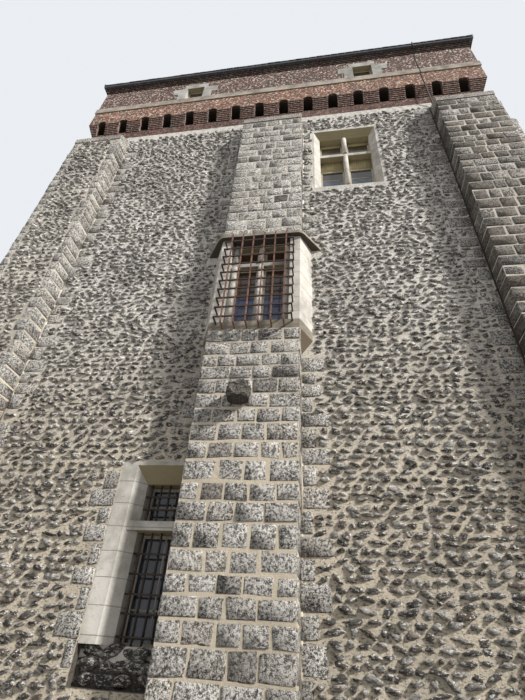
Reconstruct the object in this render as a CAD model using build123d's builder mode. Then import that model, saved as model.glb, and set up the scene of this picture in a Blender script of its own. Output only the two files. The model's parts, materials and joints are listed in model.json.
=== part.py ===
from build123d import *
import os
from math import atan2, degrees, radians, sin, tan

# Castle keep: a square tower of flint on stone buttresses, with a brick crown,
# a canted bay window behind an iron cage, and a hipped slate roof.
# Millimetres. Origin at the middle of the footprint, on the ground; the front faces -Y, +Z is up.

os.makedirs("parts", exist_ok=True)

# Keep as a whole
keep_width = 12840
keep_depth = 12840
ground_storey_height = 5900
middle_storey_height = 4700
upper_storey_height = 4060

# Flint walls: one thickness for each storey, so that each floor rests on a ledge
lower_wall_thickness = 2200
middle_wall_thickness = 1900
upper_wall_thickness = 1600
floor_thickness = 300

# Buttresses
buttress_depth = 430
centre_buttress_width = 1660
centre_buttress_offset = 75
corner_buttress_width = 1480
corner_buttress_setback = 390
buttress_cap_height = 200
buttress_cap_lip = 25
buttress_shoulder_drop = 360
corbel_stub_width = 300
corbel_stub_height = 250
corbel_stub_reach = 280
corbel_stub_wear = 80
corbel_stub_level = 5010
corbel_stub_offset = -110

# Cross windows of the upper storey
cross_offset = 2075
cross_width = 1370
cross_height = 2280
cross_sill_rise = 900
cross_splay_side = 160
cross_splay_top = 220
cross_splay_bottom = 240
cross_arris = 40
cross_mullion = 125
cross_transom_rise = 1430
cross_transom = 110
cross_frame_depth = 520
cross_setback = 150
cross_depth = 250

# Lower windows, each against the side of the centre buttress
lower_width = 760
lower_height = 2100
lower_sill_level = 1680
lower_sill = 180
lower_splay_side = 170
lower_splay_top = 260
lower_splay_depth = 150
lower_jamb = 240
lower_lintel_arris = 60
lower_transom = 130
lower_transom_rise = 1390
lower_frame_depth = 450
lower_transom_setback = 30

# Broken masonry below the front lower window, where the face of the sill has gone
break_height = 440
break_depth = 120

# Canted bay that interrupts the front centre buttress
bay_sill_rise = 700
bay_height = 2280
bay_width = 1250
bay_wall_width = 2090
bay_sill = 200
bay_stop = 310
bay_frame_setback = 180
bay_frame_depth = 200
bay_frame_jamb = 80
bay_mullion = 120
bay_transom = 120
bay_transom_rise = 1700
hood_height = 70
hood_front_width = 1740
hood_wall_width = 2500
hood_lip = 110
hood_corner = 200

# Iron cage in front of the bay
cage_bar = 26
cage_upright_count = 6
cage_upright_pitch = 225
cage_rail_count = 10
cage_rail_pitch = 228
cage_rail_end = 140
cage_reach = 210
cage_foot_drop = 160
cage_clearance = 50

# Wooden casements and their glass
casement_rail = 45
casement_depth = 40
glass_thickness = 8

# Brick crown, on the weathered head of the flint walls
brick_course = 70
head_height = 660
head_slope = 150
crown_thickness = 600
crown_base_courses = 6
crown_pier_courses = 7
crown_pier_step = 25
crown_opening_pitch = 784
crown_opening_width = 300
crown_row_offset = -100
crown_arch_rise = 90
least_corner_pier = 380
string_rise = 770
string_height = 290
string_bed = 120
string_lip = 30
eave_rise = 1540
cornice_courses = 4
cornice_step = 25

# Two small windows in each face of the crown, standing on the string course
crown_window_offset = 2900
crown_window_width = 620
crown_window_height = 800
crown_window_lower_jamb = 300
crown_window_upper_jamb = 500
crown_window_lintel_height = 270
crown_window_lintel_end = 120
crown_window_lip = 15
crown_window_depth = 260

# Roof
roof_pitch = 40
roof_overhang = 60
roof_edge = 120
roof_build_up = 420

# Levels worked out from the sizes above
first_floor_level = ground_storey_height
second_floor_level = first_floor_level + middle_storey_height
flint_top = second_floor_level + upper_storey_height
first_floor_bed = first_floor_level - floor_thickness
second_floor_bed = second_floor_level - floor_thickness
buttress_shoulder = flint_top - buttress_shoulder_drop
head_top = flint_top + head_height
opening_level = head_top + crown_base_courses * brick_course
springing_level = opening_level + crown_pier_courses * brick_course
string_level = springing_level + string_rise
crown_window_level = string_level + string_height
crown_window_top = crown_window_level + crown_window_height
eave_level = crown_window_level + eave_rise
cornice_level = eave_level - cornice_courses * brick_course
cross_sill_level = second_floor_level + cross_sill_rise
cross_top = cross_sill_level + cross_height
cross_transom_level = cross_sill_level + cross_transom_rise
lower_top = lower_sill_level + lower_height
lower_transom_level = lower_sill_level + lower_transom_rise
bay_sill_level = first_floor_level + bay_sill_rise
bay_top = bay_sill_level + bay_height
bay_transom_level = bay_sill_level + bay_transom_rise
hood_top = bay_top + hood_height

# Places worked out from the sizes above
half_width = keep_width / 2
half_depth = keep_depth / 2
front_out = -half_depth - buttress_depth
crown_projection = crown_pier_courses * crown_pier_step - head_slope
crown_inset = crown_thickness - crown_projection
cornice_projection = crown_projection + cornice_courses * cornice_step
centre_left = centre_buttress_offset - centre_buttress_width / 2
centre_right = centre_buttress_offset + centre_buttress_width / 2
cross_left = cross_offset - cross_width / 2
cross_right = cross_offset + cross_width / 2
lower_left = centre_left - lower_width

# Storeys of the flint walls: bottom, top and thickness of each
storeys = [
    (0, first_floor_bed, lower_wall_thickness),
    (first_floor_bed, second_floor_bed, middle_wall_thickness),
    (second_floor_bed, flint_top, upper_wall_thickness),
]

# Each face of the keep: its outward direction and its rightward direction as seen from outside
faces = {
    "front": ((0, -1, 0), (1, 0, 0)),
    "right": ((1, 0, 0), (0, 1, 0)),
    "back": ((0, 1, 0), (-1, 0, 0)),
    "left": ((-1, 0, 0), (0, -1, 0)),
}


def reach(face):
    """Distance from the middle of the keep to a face."""
    return half_depth if face in ("front", "back") else half_width


def run(face):
    """Half the length of a face along the wall."""
    return half_width if face in ("front", "back") else half_depth


def elevation(face, out=0):
    """Upright drawing plane parallel to a face, out from it: x to the right, y up, z outwards."""
    outward, rightward = faces[face]
    return Plane(origin=Vector(*outward) * (reach(face) + out), x_dir=rightward, z_dir=outward)


def section(face, along=0):
    """Upright plane across a wall at a place along it: x outwards from the flint face, y up."""
    outward, rightward = faces[face]
    origin = Vector(*outward) * reach(face) + Vector(*rightward) * along
    return Plane(origin=origin, x_dir=outward, z_dir=-Vector(*rightward))


def tapered(face, first, second):
    """Plane-sided solid between two upright rectangles: how far out, then left, right, foot and top."""
    near, near_left, near_right, near_foot, near_top = first
    far, far_left, far_right, far_foot, far_top = second
    outward, rightward = faces[face]
    top = max(near_top, far_top)
    above = Vector(*outward) * reach(face) + Vector(0, 0, top)
    with BuildPart(mode=Mode.PRIVATE) as made:
        with BuildSketch(Plane(origin=above, x_dir=rightward, z_dir=(0, 0, -1))):
            with BuildLine():
                Polyline((near_left, near), (near_right, near), (far_right, far), (far_left, far), close=True)
            make_face()
        extrude(amount=top - min(near_foot, far_foot))
        with BuildSketch(section(face)):
            with BuildLine():
                Polyline((near, near_foot), (near, near_top), (far, far_top), (far, far_foot), close=True)
            make_face()
        extrude(amount=run(face), both=True, mode=Mode.INTERSECT)
    return made.part


def finish(piece, name):
    """Label a finished piece and write it."""
    piece.part.label = name
    export_step(piece.part, "parts/" + name + ".step")


def block(left, right, bottom, top, mode=Mode.ADD):
    """Rectangle of a drawing between two uprights and two levels."""
    with Locations(((left + right) / 2, (bottom + top) / 2)):
        Rectangle(right - left, top - bottom, mode=mode)


def square_course(level, height, projection, inset, mode=Mode.ADD):
    """One ring of masonry round the keep, from inset inside the flint face to projection outside it."""
    with BuildSketch(Plane.XY.offset(level)) as course_plan:
        Rectangle(keep_width + 2 * projection, keep_depth + 2 * projection)
        Rectangle(keep_width - 2 * inset, keep_depth - 2 * inset, mode=Mode.SUBTRACT)
    extrude(course_plan.sketch, amount=height, mode=mode)


# Outlines of the stone surrounds, drawn both for the holes in the walls and for the stones


def cross_surround():
    """Outline of the stone round a cross window."""
    block(
        cross_left - cross_splay_side - cross_arris,
        cross_right + cross_splay_side + cross_arris,
        cross_sill_level - cross_splay_bottom - cross_arris,
        cross_top + cross_splay_top + cross_arris,
    )


def lower_surround():
    """Outline of the stone round a lower window, from its jamb to the side of the buttress."""
    block(
        lower_left - lower_splay_side - lower_jamb,
        centre_left,
        lower_sill_level - lower_sill,
        lower_top + lower_splay_top + lower_lintel_arris,
    )


def sill_break():
    """Outline of the masonry that has gone below the front lower window."""
    block(
        lower_left - lower_splay_side - lower_jamb,
        centre_left,
        lower_sill_level - break_height,
        lower_sill_level,
    )


def crown_surround(side, mode=Mode.ADD):
    """Outline of the stone round a crown window: a short and a long jamb stone, and a lintel."""
    middle_level = (crown_window_level + crown_window_top) / 2
    for jamb, bottom, top in (
        (crown_window_lower_jamb, crown_window_level, middle_level),
        (crown_window_upper_jamb, middle_level, crown_window_top),
        (crown_window_lintel_end, crown_window_top, crown_window_top + crown_window_lintel_height),
    ):
        edge = crown_window_width / 2 + jamb
        centre = side * crown_window_offset
        block(centre - edge, centre + edge, bottom, top, mode=mode)


# Flint walls

for face in faces:
    with BuildPart() as wall:
        for bottom, top, thickness in storeys:
            length = run(face) if face in ("front", "back") else run(face) - thickness
            with BuildSketch(elevation(face)):
                block(-length, length, bottom, top)
            extrude(amount=-thickness)
        with BuildSketch(elevation(face)):
            cross_surround()
            lower_surround()
            if face == "front":
                block(
                    centre_buttress_offset - bay_width / 2,
                    centre_buttress_offset + bay_width / 2,
                    bay_sill_level,
                    bay_top,
                )
        extrude(amount=-lower_wall_thickness, mode=Mode.SUBTRACT)
        if face == "front":
            with BuildSketch(elevation(face)):
                sill_break()
            extrude(amount=-break_depth, mode=Mode.SUBTRACT)
    finish(wall, face + "_wall")

# Floors, each on the ledge of the wall below

floors = {
    "ground_floor": (0, lower_wall_thickness),
    "first_floor": (first_floor_bed, middle_wall_thickness),
    "second_floor": (second_floor_bed, upper_wall_thickness),
    "attic_floor": (flint_top, crown_inset),
}
for name, (bed, inset) in floors.items():
    with BuildPart() as floor:
        with BuildSketch(Plane.XY.offset(bed)):
            Rectangle(keep_width - 2 * inset, keep_depth - 2 * inset)
        extrude(amount=floor_thickness)
    finish(floor, name)

# Buttresses


def buttress(face, centre, width, foot=0):
    """Pier against a wall, with a lipped cap stone whose back slopes up to the top of the flint."""
    with BuildSketch(section(face, centre)) as profile:
        with BuildLine():
            Polyline(
                (0, foot),
                (buttress_depth, foot),
                (buttress_depth, buttress_shoulder - buttress_cap_height),
                (buttress_depth + buttress_cap_lip, buttress_shoulder - buttress_cap_height),
                (buttress_depth + buttress_cap_lip, buttress_shoulder),
                (0, flint_top),
                close=True,
            )
        make_face()
    extrude(profile.sketch, amount=width / 2, both=True)


def corner_place(face):
    """Middle of the buttress that stands beside a corner of a face."""
    return run(face) - corner_buttress_setback - corner_buttress_width / 2


for hand, side in (("left", -1), ("right", 1)):
    with BuildPart() as corner_buttress:
        buttress("front", side * corner_place("front"), corner_buttress_width)
    finish(corner_buttress, "front_" + hand + "_buttress")

for face in ("right", "back", "left"):
    with BuildPart() as side_buttresses:
        buttress(face, -corner_place(face), corner_buttress_width)
        buttress(face, centre_buttress_offset, centre_buttress_width)
        buttress(face, corner_place(face), corner_buttress_width)
    finish(side_buttresses, face + "_buttresses")

with BuildPart() as lower_pier:
    with BuildSketch(elevation("front")):
        block(centre_left, centre_right, 0, bay_sill_level - bay_sill)
    extrude(amount=buttress_depth)
finish(lower_pier, "centre_buttress_lower")

with BuildPart() as upper_pier:
    buttress("front", centre_buttress_offset, centre_buttress_width, foot=hood_top)
finish(upper_pier, "centre_buttress_upper")

stub_root, stub_end = (
    (
        buttress_depth + out,
        centre_buttress_offset + corbel_stub_offset - (corbel_stub_width - worn) / 2,
        centre_buttress_offset + corbel_stub_offset + (corbel_stub_width - worn) / 2,
        corbel_stub_level - (corbel_stub_height - worn) / 2,
        corbel_stub_level + (corbel_stub_height - worn) / 2,
    )
    for out, worn in ((0, 0), (corbel_stub_reach, corbel_stub_wear))
)
with BuildPart() as corbel_stub:
    add(tapered("front", stub_root, stub_end))
finish(corbel_stub, "corbel_stub")

# Bay window


def bay_outline(front_half, wall_half, front_y):
    """Plan of a course of the bay: narrow at its front, wide where it meets the wall."""
    with BuildLine() as outline:
        Polyline(
            (centre_buttress_offset - front_half, front_y),
            (centre_buttress_offset + front_half, front_y),
            (centre_buttress_offset + wall_half, -half_depth),
            (centre_buttress_offset - wall_half, -half_depth),
            close=True,
        )
    make_face(outline.edges())


with BuildPart() as bay_sill_stone:
    with BuildSketch(Plane.XY.offset(bay_sill_level - bay_sill)):
        bay_outline(centre_buttress_width / 2, bay_wall_width / 2, front_out)
    extrude(amount=bay_sill)
    for side in (-1, 1):
        pier_side = centre_buttress_offset + side * centre_buttress_width / 2
        wall_side = centre_buttress_offset + side * bay_wall_width / 2
        with BuildSketch(Plane.XY.offset(bay_sill_level - bay_sill)) as stop_top:
            with BuildLine():
                Polyline(
                    (pier_side, front_out),
                    (wall_side, -half_depth),
                    (pier_side, -half_depth),
                    close=True,
                )
            make_face()
        stop_foot = Vertex(pier_side, -half_depth, bay_sill_level - bay_sill - bay_stop)
        loft(sections=[stop_top.sketch.face(), stop_foot])
finish(bay_sill_stone, "bay_sill")

for hand, side in (("left", -1), ("right", 1)):
    with BuildPart() as cheek:
        with BuildSketch(Plane.XY.offset(bay_sill_level)):
            with BuildLine():
                Polyline(
                    (centre_buttress_offset + side * bay_width / 2, front_out),
                    (centre_buttress_offset + side * centre_buttress_width / 2, front_out),
                    (centre_buttress_offset + side * bay_wall_width / 2, -half_depth),
                    (centre_buttress_offset + side * bay_width / 2, -half_depth),
                    close=True,
                )
            make_face()
        extrude(amount=bay_height)
    finish(cheek, "bay_" + hand + "_cheek")

with BuildPart() as hood:
    with BuildSketch(Plane.XY.offset(bay_top)) as hood_plan:
        bay_outline(hood_front_width / 2, hood_wall_width / 2, front_out - hood_lip)
        fillet(hood_plan.vertices().group_by(Axis.Y)[0], hood_corner)
    extrude(amount=hood_height)
finish(hood, "bay_hood")

bay_left = centre_buttress_offset - bay_width / 2
bay_right = centre_buttress_offset + bay_width / 2
with BuildPart() as bay_frame:
    with BuildSketch(elevation("front", buttress_depth - bay_frame_setback)):
        block(bay_left, bay_right, bay_sill_level, bay_top)
        block(
            bay_left + bay_frame_jamb,
            bay_right - bay_frame_jamb,
            bay_sill_level + bay_frame_jamb,
            bay_top - bay_frame_jamb,
            mode=Mode.SUBTRACT,
        )
        block(
            centre_buttress_offset - bay_mullion / 2,
            centre_buttress_offset + bay_mullion / 2,
            bay_sill_level,
            bay_top,
        )
        block(
            bay_left,
            bay_right,
            bay_transom_level - bay_transom / 2,
            bay_transom_level + bay_transom / 2,
        )
    extrude(amount=-bay_frame_depth)
finish(bay_frame, "bay_window_frame")

# Iron cage: rails bent back to the cheeks at both ends, uprights bent back to the sill

cage_half = (cage_upright_count - 1) * cage_upright_pitch / 2 + cage_rail_end
cage_left = centre_buttress_offset - cage_half
cage_right = centre_buttress_offset + cage_half
cage_face = front_out - cage_reach
cage_foot = bay_sill_level - cage_foot_drop
first_rail = cage_foot + cage_rail_pitch / 2
rail_levels = [first_rail + row * cage_rail_pitch for row in range(cage_rail_count)]
upright_places = [
    cage_left + cage_rail_end + column * cage_upright_pitch for column in range(cage_upright_count)
]

with BuildPart() as cage:
    with BuildSketch(*[Plane.XY.offset(level) for level in rail_levels]):
        with BuildLine():
            Polyline(
                (cage_left, front_out),
                (cage_left, cage_face),
                (cage_right, cage_face),
                (cage_right, front_out),
            )
        trace(line_width=cage_bar)
    extrude(amount=cage_bar / 2, both=True)
    with BuildSketch(*[Plane.YZ.offset(place) for place in upright_places]):
        with BuildLine():
            Polyline(
                (front_out, cage_foot),
                (cage_face, cage_foot),
                (cage_face, bay_top - cage_clearance),
            )
        trace(line_width=cage_bar)
    extrude(amount=cage_bar / 2, both=True)
finish(cage, "bay_grille")

# Stone frames of the upper and lower windows, splayed in from the wall face to the lights

with BuildPart() as cross_frames:
    for face in faces:
        with BuildSketch(elevation(face)):
            cross_surround()
            block(cross_left, cross_right, cross_sill_level, cross_top, mode=Mode.SUBTRACT)
        extrude(amount=-cross_frame_depth)
        splay_mouth = (
            0,
            cross_left - cross_splay_side,
            cross_right + cross_splay_side,
            cross_sill_level - cross_splay_bottom,
            cross_top + cross_splay_top,
        )
        splay_throat = (-cross_setback, cross_left, cross_right, cross_sill_level, cross_top)
        add(tapered(face, splay_mouth, splay_throat), mode=Mode.SUBTRACT)
        with BuildSketch(elevation(face, -cross_setback)):
            block(
                cross_offset - cross_mullion / 2,
                cross_offset + cross_mullion / 2,
                cross_sill_level,
                cross_top,
            )
            block(
                cross_left,
                cross_right,
                cross_transom_level - cross_transom / 2,
                cross_transom_level + cross_transom / 2,
            )
        extrude(amount=-cross_depth)
finish(cross_frames, "cross_window_frames")

lower_transom_left = lower_left - lower_splay_side * (1 - lower_transom_setback / lower_splay_depth)
with BuildPart() as lower_frames:
    for face in faces:
        with BuildSketch(elevation(face)):
            lower_surround()
            block(lower_left, centre_left, lower_sill_level, lower_top, mode=Mode.SUBTRACT)
        extrude(amount=-lower_frame_depth)
        splay_mouth = (
            0,
            lower_left - lower_splay_side,
            centre_left,
            lower_sill_level,
            lower_top + lower_splay_top,
        )
        splay_throat = (-lower_splay_depth, lower_left, centre_left, lower_sill_level, lower_top)
        add(tapered(face, splay_mouth, splay_throat), mode=Mode.SUBTRACT)
        with BuildSketch(elevation(face, -lower_transom_setback)):
            block(
                lower_transom_left,
                centre_left,
                lower_transom_level,
                lower_transom_level + lower_transom,
            )
        extrude(amount=lower_transom_setback - lower_frame_depth)
        if face == "front":
            with BuildSketch(elevation(face)):
                sill_break()
            extrude(amount=-break_depth, mode=Mode.SUBTRACT)
finish(lower_frames, "lower_window_frames")

# Brick crown

with BuildPart() as crown_base:
    with BuildSketch(Plane.XY.offset(flint_top)):
        Rectangle(keep_width, keep_depth)
    extrude(amount=head_height, taper=degrees(atan2(head_slope, head_height)))
    with BuildSketch(Plane.XY.offset(flint_top)):
        Rectangle(keep_width - 2 * crown_inset, keep_depth - 2 * crown_inset)
    extrude(amount=head_height, mode=Mode.SUBTRACT)
    square_course(head_top, crown_base_courses * brick_course, -head_slope, crown_inset)
finish(crown_base, "crown_base")

opening_places = {}
for face in faces:
    row_length = 2 * (run(face) - least_corner_pier) - crown_opening_width
    last = int(row_length / crown_opening_pitch)
    opening_places[face] = [
        crown_row_offset + (number - last / 2) * crown_opening_pitch for number in range(last + 1)
    ]

# Piers between the openings, each course stepped out over the one below
pier_width = crown_opening_pitch - crown_opening_width
for face in faces:
    pier_centres = [place + crown_opening_pitch / 2 for place in opening_places[face][:-1]]
    with BuildPart() as piers:
        with BuildSketch(*[section(face, centre) for centre in pier_centres]):
            for course in range(crown_pier_courses):
                level = opening_level + course * brick_course
                out = (course + 1) * crown_pier_step - head_slope
                block(-crown_inset, out, level, level + brick_course)
        extrude(amount=pier_width / 2, both=True)
    finish(piers, "crown_piers_" + face)

# Corner piers step out along both faces
with BuildPart() as corner_piers:
    for course in range(crown_pier_courses):
        square_course(
            opening_level + course * brick_course,
            brick_course,
            (course + 1) * crown_pier_step - head_slope,
            crown_inset,
        )
    for face in faces:
        with BuildSketch(elevation(face, -crown_inset)):
            block(
                opening_places[face][0] - crown_opening_width / 2,
                opening_places[face][-1] + crown_opening_width / 2,
                opening_level,
                springing_level,
            )
        extrude(amount=crown_thickness, mode=Mode.SUBTRACT)
finish(corner_piers, "crown_corner_piers")

for face in faces:
    with BuildPart() as crown_wall:
        length = run(face) + crown_projection if face in ("front", "back") else run(face) - crown_inset
        with BuildSketch(elevation(face, crown_projection)):
            block(-length, length, springing_level, cornice_level)
            for place in opening_places[face]:
                with BuildLine():
                    arch = ThreePointArc(
                        (place - crown_opening_width / 2, springing_level),
                        (place, springing_level + crown_arch_rise),
                        (place + crown_opening_width / 2, springing_level),
                    )
                    Line(arch @ 1, arch @ 0)
                make_face(mode=Mode.SUBTRACT)
            for side in (-1, 1):
                crown_surround(side, mode=Mode.SUBTRACT)
        extrude(amount=-crown_thickness)
        square_course(
            string_level,
            string_height,
            crown_projection,
            string_bed - crown_projection,
            mode=Mode.SUBTRACT,
        )
    finish(crown_wall, "crown_wall_" + face)

with BuildPart() as string_course:
    string_reach = crown_projection + string_lip
    square_course(string_level, string_height, string_reach, string_bed - crown_projection)
finish(string_course, "string_course")

with BuildPart() as cornice:
    for course in range(cornice_courses):
        square_course(
            cornice_level + course * brick_course,
            brick_course,
            crown_projection + (course + 1) * cornice_step,
            crown_inset,
        )
finish(cornice, "crown_cornice")

with BuildPart() as crown_frames:
    for face in faces:
        with BuildSketch(elevation(face, crown_projection + crown_window_lip)):
            for side in (-1, 1):
                crown_surround(side)
                block(
                    side * crown_window_offset - crown_window_width / 2,
                    side * crown_window_offset + crown_window_width / 2,
                    crown_window_level,
                    crown_window_top,
                    mode=Mode.SUBTRACT,
                )
        extrude(amount=-crown_window_depth)
finish(crown_frames, "crown_window_frames")

# Wooden casements and glass: one frame and one sheet for each light

cross_lights = [
    (left, right, bottom, top)
    for left, right in (
        (cross_left, cross_offset - cross_mullion / 2),
        (cross_offset + cross_mullion / 2, cross_right),
    )
    for bottom, top in (
        (cross_sill_level, cross_transom_level - cross_transom / 2),
        (cross_transom_level + cross_transom / 2, cross_top),
    )
]
lower_lights = [
    (lower_left, centre_left, bottom, top)
    for bottom, top in (
        (lower_sill_level, lower_transom_level),
        (lower_transom_level + lower_transom, lower_top),
    )
]
crown_lights = [
    (
        side * crown_window_offset - crown_window_width / 2,
        side * crown_window_offset + crown_window_width / 2,
        crown_window_level,
        crown_window_top,
    )
    for side in (-1, 1)
]
bay_lights = [
    (left, right, bottom, top)
    for left, right in (
        (bay_left + bay_frame_jamb, centre_buttress_offset - bay_mullion / 2),
        (centre_buttress_offset + bay_mullion / 2, bay_right - bay_frame_jamb),
    )
    for bottom, top in (
        (bay_sill_level + bay_frame_jamb, bay_transom_level - bay_transom / 2),
        (bay_transom_level + bay_transom / 2, bay_top - bay_frame_jamb),
    )
]

# Each row of windows: its lights, the faces that have it, and where the back of its stonework is
window_rows = [
    (cross_lights, list(faces), -cross_setback - cross_depth),
    (lower_lights, list(faces), -lower_frame_depth),
    (crown_lights, list(faces), crown_projection + crown_window_lip - crown_window_depth),
    (bay_lights, ["front"], buttress_depth - bay_frame_setback - bay_frame_depth),
]

with BuildPart() as casements:
    for lights, row_faces, stone_back in window_rows:
        with BuildSketch(*[elevation(face, stone_back + casement_depth) for face in row_faces]):
            for left, right, bottom, top in lights:
                block(left, right, bottom, top)
                block(
                    left + casement_rail,
                    right - casement_rail,
                    bottom + casement_rail,
                    top - casement_rail,
                    mode=Mode.SUBTRACT,
                )
        extrude(amount=casement_depth)
finish(casements, "window_casements")

with BuildPart() as glazing:
    for lights, row_faces, stone_back in window_rows:
        middle = stone_back + casement_depth * 3 / 2
        with BuildSketch(*[elevation(face, middle) for face in row_faces]):
            for left, right, bottom, top in lights:
                rail = casement_rail
                block(left + rail, right - rail, bottom + rail, top - rail)
        extrude(amount=glass_thickness / 2, both=True)
finish(glazing, "window_glazing")

# Roof: four slopes mitred at the hips

eave_out = cornice_projection + roof_overhang
roof_back = eave_out - roof_build_up / sin(radians(roof_pitch))
roof_rise = tan(radians(roof_pitch))
for face in faces:
    with BuildPart() as slope:
        with BuildSketch(section(face)):
            with BuildLine():
                Polyline(
                    (eave_out, eave_level),
                    (eave_out, eave_level + roof_edge),
                    (-reach(face), eave_level + roof_edge + (reach(face) + eave_out) * roof_rise),
                    (-reach(face), eave_level + (reach(face) + roof_back) * roof_rise),
                    (roof_back, eave_level),
                    close=True,
                )
            make_face()
        extrude(amount=run(face) + eave_out, both=True)
        outward, rightward = faces[face]
        for side in (-1, 1):
            corner = Vector(*outward) * reach(face) + Vector(*rightward) * side * run(face)
            hip = Vector(*outward) - Vector(*rightward) * side
            split(bisect_by=Plane(origin=corner, z_dir=hip), keep=Keep.TOP)
    finish(slope, "roof_" + face)
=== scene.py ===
import json
import math

import bmesh
import bpy
import numpy as np
from mathutils import Matrix, Vector, noise


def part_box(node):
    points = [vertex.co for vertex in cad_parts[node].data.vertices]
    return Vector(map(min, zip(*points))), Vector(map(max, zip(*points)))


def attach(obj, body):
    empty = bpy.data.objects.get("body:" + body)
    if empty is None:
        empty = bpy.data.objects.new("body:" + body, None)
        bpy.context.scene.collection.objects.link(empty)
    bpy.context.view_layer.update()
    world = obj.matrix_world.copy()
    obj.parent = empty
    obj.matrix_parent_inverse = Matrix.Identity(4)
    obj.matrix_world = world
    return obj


# Looks of the castle keep: flint walls, ashlar buttresses, brick crown, stone windows and slate roof.
# Metres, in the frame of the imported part: the front faces -Y and +Z is up.

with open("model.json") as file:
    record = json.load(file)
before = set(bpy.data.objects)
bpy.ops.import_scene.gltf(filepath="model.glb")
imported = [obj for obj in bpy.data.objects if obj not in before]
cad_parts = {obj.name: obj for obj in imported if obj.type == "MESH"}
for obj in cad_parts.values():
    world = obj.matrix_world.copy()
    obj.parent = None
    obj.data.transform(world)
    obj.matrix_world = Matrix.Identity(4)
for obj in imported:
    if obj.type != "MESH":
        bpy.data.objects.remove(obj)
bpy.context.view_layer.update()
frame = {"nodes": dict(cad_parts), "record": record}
nodes = frame["nodes"]
# All chance comes from these two seeds, so each run gives the same keep
chance = np.random.default_rng(20)
noise.seed_set(1795771954)


# Shader nodes written as Python


class Wire:
    """An output socket of a material, on which sums are written with Python's own signs."""

    def __init__(self, finish, socket):
        self.finish = finish
        self.socket = socket

    def __add__(self, other):
        return self.finish.maths("ADD", self, other)

    def __radd__(self, other):
        return self.finish.maths("ADD", other, self)

    def __sub__(self, other):
        return self.finish.maths("SUBTRACT", self, other)

    def __rsub__(self, other):
        return self.finish.maths("SUBTRACT", other, self)

    def __mul__(self, other):
        return self.finish.maths("MULTIPLY", self, other)

    def __rmul__(self, other):
        return self.finish.maths("MULTIPLY", other, self)

    def __neg__(self):
        return self.finish.maths("MULTIPLY", self, -1.0)


class Finish:
    """One material: its principled shader and the nodes that feed it."""

    def __init__(self, name, roughness=0.85, metallic=0.0, specular=0.35):
        self.material = bpy.data.materials.new(name)
        self.material.use_nodes = True
        self.tree = self.material.node_tree
        self.shader = self.tree.nodes["Principled BSDF"]
        self.shader.inputs["Roughness"].default_value = roughness
        self.shader.inputs["Metallic"].default_value = metallic
        self.shader.inputs["Specular IOR Level"].default_value = specular
        self.place = self.node("ShaderNodeTexCoord").out("Object")

    def node(self, kind, settings=None, **sockets):
        """Adds a node: its settings first, then what feeds its sockets, by their name or as _number."""
        made = self.tree.nodes.new(kind)
        for key, value in (settings or {}).items():
            if key == "stops":
                ramp = made.color_ramp
                while len(ramp.elements) < len(value):
                    ramp.elements.new(0.5)
                for stop, (position, colour) in zip(ramp.elements, value):
                    stop.position = position
                    stop.color = (*colour, 1.0)
            else:
                setattr(made, key, value)
        for key, value in sockets.items():
            socket = int(key[1:]) if key[0] == "_" else key.replace("_", " ")
            self.join(made.inputs[socket], value)
        return Made(self, made)

    def join(self, socket, value):
        """Feeds a socket with a wire or a value, and leaves it alone where there is neither."""
        if isinstance(value, Wire):
            self.tree.links.new(value.socket, socket)
        elif value is not None:
            socket.default_value = (*value, 1.0) if socket.type == "RGBA" else value

    def maths(self, operation, first, second=None):
        return self.node("ShaderNodeMath", {"operation": operation}, _0=first, _1=second).out(0)

    def vector(self, operation, first, second):
        return self.node("ShaderNodeVectorMath", {"operation": operation}, _0=first, _1=second).out(0)

    def blend(self, share, first, second):
        """First colour where share is 0, second where it is 1."""
        return self.node("ShaderNodeMix", {"data_type": "RGBA"}, _0=share, _6=first, _7=second).out(2)

    def squeezed(self, factors):
        """The place on the keep with its parts multiplied: above 1 makes a pattern finer that way."""
        return self.vector("MULTIPLY", self.place, factors) if factors else self.place

    def noise(self, scale, detail=4.0, roughness=0.6, squeeze=None):
        """Cloudy noise from 0 to 1, scale in features a metre."""
        grain = {"Scale": scale, "Detail": detail, "Roughness": roughness}
        return self.node("ShaderNodeTexNoise", Vector=self.squeezed(squeeze), **grain).out(0)

    def cells(self, scale, out, squeeze=None):
        """Cell noise: the Distance to the middle of the nearest cell, or the cell's own Color."""
        return self.node("ShaderNodeTexVoronoi", Vector=self.squeezed(squeeze), Scale=scale).out(out)

    def ramp(self, share, *stops):
        """Colours along a share, each stop a position and its colour."""
        return self.node("ShaderNodeValToRGB", {"stops": stops}, _0=share).out(0)

    def parts(self, value):
        """The three numbers of a vector or colour."""
        split = self.node("ShaderNodeSeparateXYZ", _0=value)
        return [split.out(axis) for axis in range(3)]

    def facing(self):
        """The three parts of the direction that the surface faces."""
        return self.parts(self.node("ShaderNodeNewGeometry").out("True Normal"))

    def stone(self):
        """What each stone, block or slate was cast with: its tone, its hue, and 1 at its heart."""
        return self.parts(self.node("ShaderNodeAttribute", {"attribute_name": "stone"}).out("Color"))

    def step(self, value, low, high):
        """0 below low, 1 above high, smooth between."""
        settings = {"interpolation_type": "SMOOTHSTEP"}
        return self.node("ShaderNodeMapRange", settings, _0=value, _1=low, _2=high).out(0)

    def bump(self, height, strength, distance):
        """Relief in the light only, its distance in metres."""
        return self.node("ShaderNodeBump", Strength=strength, Distance=distance, Height=height).out(0)

    def paint(self, colour, roughness=None, normal=None):
        """Feeds the shader and gives the finished material."""
        self.join(self.shader.inputs["Base Color"], colour)
        self.join(self.shader.inputs["Roughness"], roughness)
        self.join(self.shader.inputs["Normal"], normal)
        return self.material


class Made:
    """A node that was added, for picking one of its outputs."""

    def __init__(self, finish, made):
        self.finish = finish
        self.made = made

    def out(self, name):
        return Wire(self.finish, self.made.outputs[name])


# Places on the keep, read from the frame or repeated from the part's source

half = -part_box("crown_base")[0].y
flint_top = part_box("front_wall")[1].z
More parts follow.
